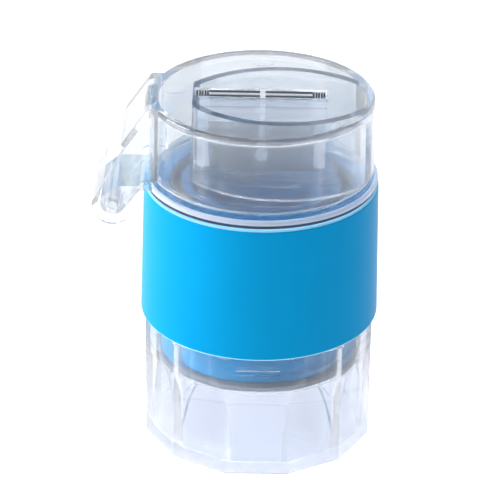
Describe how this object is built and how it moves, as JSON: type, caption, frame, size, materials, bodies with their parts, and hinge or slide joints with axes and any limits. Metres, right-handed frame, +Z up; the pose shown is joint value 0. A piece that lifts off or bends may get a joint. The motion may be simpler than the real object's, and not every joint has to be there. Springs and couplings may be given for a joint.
{
  "type": "pill crusher",
  "caption": "Round hand-twist pill crusher with a hinged clear cutter lid, a blue threaded grip ring with a crushing bowl inside, and a clear faceted storage cup below.",
  "frame": {"origin": "centre of the storage cup's flat bottom, on the screw axis", "axes": "+Z up along the screw axis; the lid's hinge is on the -X side and runs along Y; the blade lies in the XZ plane"},
  "size_m": [0.0613, 0.0514, 0.0787],
  "materials": {
    "clear_plastic": "clear injection-moulded polystyrene, polished",
    "blue_ring": "opaque sky-blue polypropylene, satin gloss",
    "blue_bowl": "opaque sky-blue polypropylene",
    "seal_rubber": "grey translucent silicone",
    "blade_steel": "ground stainless razor steel"
  },
  "bodies": {
    "cup": {"base_cup": "clear_plastic"},
    "seal": {"neck_seal": "seal_rubber"},
    "bowl": {"grip_ring": "blue_ring", "crushing_bowl": "blue_bowl"},
    "plunger": {"crusher_plunger": "blue_bowl"},
    "seat": {"pill_seat": "clear_plastic", "hinge_pin": "clear_plastic"},
    "lid": {"lid_shell": "clear_plastic", "blade": "blade_steel", "blade_holder": "clear_plastic"}
  },
  "joints": [
    {"name": "cup_turn", "type": "hinge", "parent": "cup", "child": "seal", "pos_m": [0, 0, 0.0198], "axis": [0, 0, 1], "range_deg": [0, 360]},
    {"name": "cup_travel", "type": "slide", "parent": "seal", "child": "bowl", "axis": [0, 0, 1], "range_m": [0, 0.0058]},
    {"name": "head_travel", "type": "slide", "parent": "bowl", "child": "plunger", "axis": [0, 0, 1], "range_m": [0, 0.006]},
    {"name": "head_turn", "type": "hinge", "parent": "plunger", "child": "seat", "pos_m": [0, 0, 0.0593], "axis": [0, 0, 1], "range_deg": [0, 360]},
    {"name": "lid_hinge", "type": "hinge", "parent": "seat", "child": "lid", "pos_m": [-0.0312, 0, 0.0565], "axis": [0, -1, 0], "range_deg": [0, 110]}
  ],
  "couplings": [
    {"joint": "cup_travel", "follows": "cup_turn", "m_per_rad": 0.00092309},
    {"joint": "head_travel", "follows": "head_turn", "m_per_rad": 0.00095492}
  ]
}
